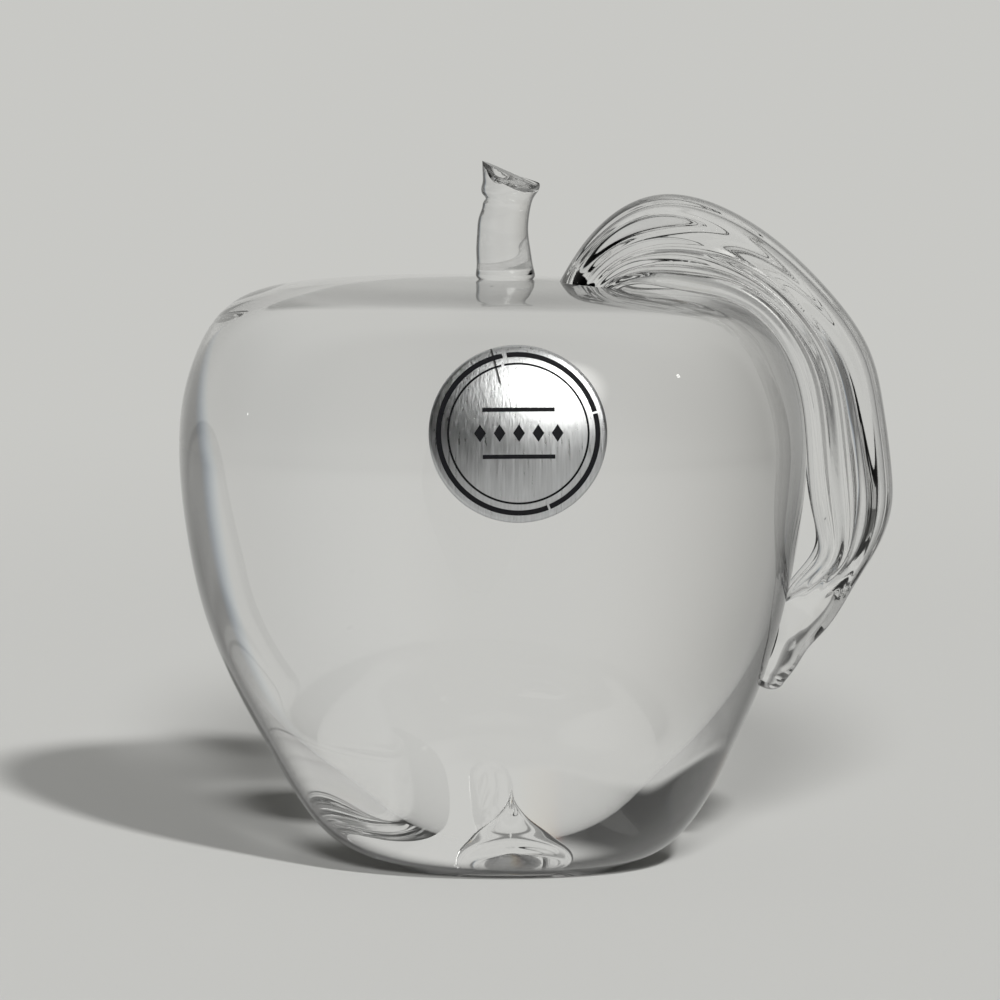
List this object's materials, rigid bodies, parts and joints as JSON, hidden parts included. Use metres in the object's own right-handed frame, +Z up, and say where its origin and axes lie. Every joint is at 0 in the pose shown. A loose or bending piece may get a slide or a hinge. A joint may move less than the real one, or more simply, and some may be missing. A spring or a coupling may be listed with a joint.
{
  "type": "glass apple paperweight",
  "caption": "Solid clear crystal apple with a sealed air bubble, an applied stem and leaf, and a round foil label.",
  "frame": {"origin": "middle of the ground flat that the apple stands on", "axes": "+Z up, the label faces -Y, the leaf falls towards +X"},
  "size_m": [0.0865, 0.0762, 0.0858],
  "materials": {
    "body_crystal": "fire-polished clear lead crystal",
    "stem_crystal": "fire-polished clear lead crystal",
    "leaf_crystal": "tooled, fire-polished clear lead crystal",
    "label_adhesive": "pressure-sensitive adhesive film",
    "label_foil": "finely brushed silver foil",
    "label_ink": "black printed ink"
  },
  "bodies": {
    "root": {"apple_body": "body_crystal", "stem": "stem_crystal", "leaf": "leaf_crystal", "label_adhesive": "label_adhesive", "label_foil": "label_foil", "label_outer_ring": "label_ink", "label_inner_ring": "label_ink", "label_motif": "label_ink"}
  },
  "joints": []
}
